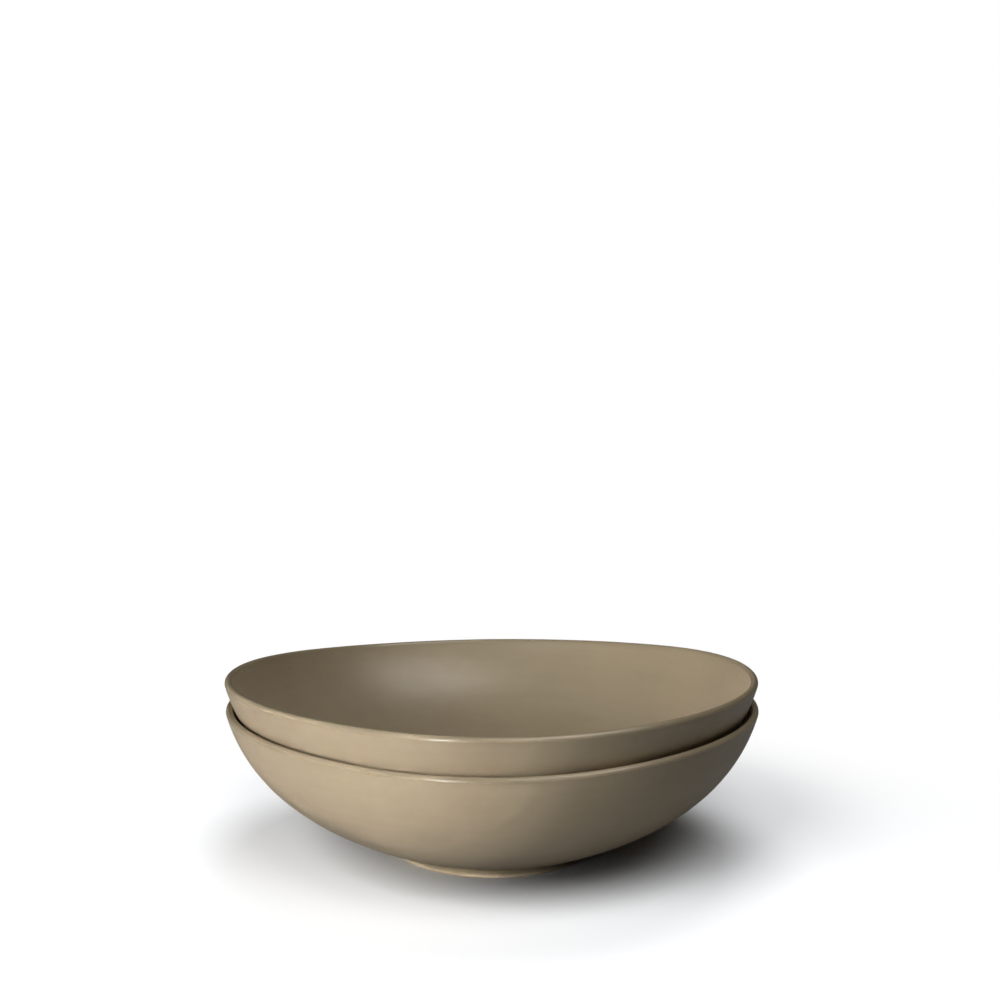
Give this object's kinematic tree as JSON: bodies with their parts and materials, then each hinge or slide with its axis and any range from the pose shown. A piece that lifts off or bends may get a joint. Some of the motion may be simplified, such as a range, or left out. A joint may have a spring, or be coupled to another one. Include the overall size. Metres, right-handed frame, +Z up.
{
  "type": "deep plate",
  "caption": "Two deep stoneware plates nested one in the other, each a round curved body with a rounded lip on a low foot ring; the upper plate lifts off.",
  "frame": {"origin": "on the table, in the middle of the lower plate's foot ring", "axes": "+Z up, along the axis of the plates; +X to the right and +Y to the back, seen from the front"},
  "size_m": [0.222, 0.2201, 0.0746],
  "materials": {
    "glaze": "satin khaki glaze",
    "bare_clay": "unglazed, matte"
  },
  "bodies": {
    "lower": {"lower_plate": "glaze", "lower_foot_ring": "bare_clay"},
    "upper": {"upper_plate": "glaze", "upper_foot_ring": "bare_clay"}
  },
  "joints": [
    {"name": "upper_plate_lift", "type": "slide", "parent": "lower", "child": "upper", "axis": [0, 0, 1], "range_m": [0, 0.06]}
  ]
}
